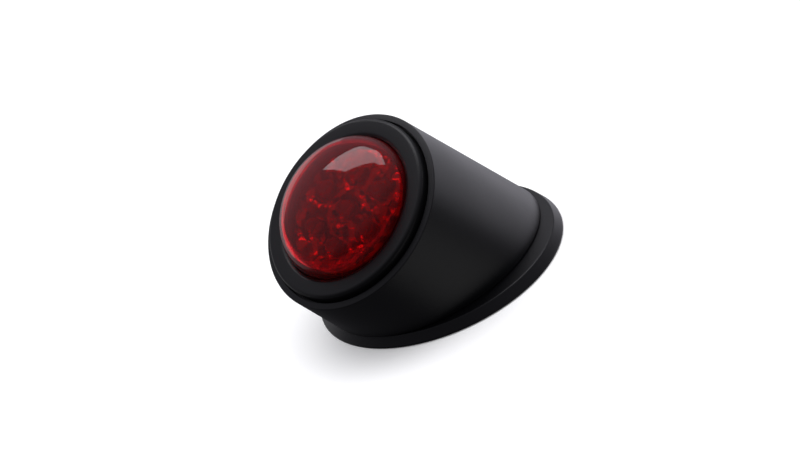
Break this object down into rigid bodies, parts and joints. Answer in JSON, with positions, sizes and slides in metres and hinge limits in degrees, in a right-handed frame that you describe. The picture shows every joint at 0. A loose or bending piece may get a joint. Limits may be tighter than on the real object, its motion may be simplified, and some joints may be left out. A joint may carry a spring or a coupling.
{
  "type": "motorcycle tail light",
  "caption": "Round tail light: a leaning black housing on a round foot plate, with a domed red lens held by a screwed ring and an LED module inside.",
  "frame": {"origin": "centre of the foot plate's mounting face, where the rubber pad rests", "axes": "+Z away from the mounting face; the lens axis leans 31 degrees from +Z towards -Y; X across, through the two mounting inserts"},
  "size_m": [0.0772, 0.0871, 0.0548],
  "materials": {
    "black_body": "satin black powder coat on die-cast zinc alloy",
    "black_ring": "satin black powder coat on turned aluminium",
    "red_lens": "clear gloss, deep red",
    "rubber": "matte",
    "brass": "turned",
    "steel": "zinc plated",
    "reflector_chrome": "mirror metallised plastic",
    "red_led": "clear red epoxy",
    "white_plastic": "moulded nylon",
    "board": "solder mask on glass-epoxy laminate",
    "black_plastic": "moulded epoxy",
    "capacitor_can": "satin can"
  },
  "bodies": {
    "housing_body": {"base_plate": "black_body", "mounting_pad": "rubber", "mount_inserts": "brass", "cable_grommet": "rubber", "foot_gasket": "rubber", "housing": "black_body", "foot_screws": "steel", "lens_gasket": "rubber", "reflector": "reflector_chrome", "outer_leds": "red_led", "centre_led": "red_led", "led_legs": "steel", "led_collars": "white_plastic", "led_board": "board", "board_screws": "steel", "driver_chip": "black_plastic", "rectifier_diode": "black_plastic", "capacitor": "capacitor_can", "resistors": "black_plastic", "header_shroud": "white_plastic", "header_pins": "brass"},
    "lens_body": {"lens": "red_lens"},
    "ring_body": {"bezel_ring": "black_ring"}
  },
  "joints": [
    {"name": "lens_lift", "type": "slide", "parent": "housing_body", "child": "lens_body", "axis": [0, -0.515, 0.8572], "range_m": [0, 0.0045]},
    {"name": "ring_turn", "type": "hinge", "parent": "lens_body", "child": "ring_body", "pos_m": [0, -0.0228, 0.03794], "axis": [0, -0.515, 0.8572], "range_deg": [0, 1080]}
  ],
  "couplings": [
    {"joint": "lens_lift", "follows": "ring_turn", "m_per_rad": 0.00023873}
  ]
}
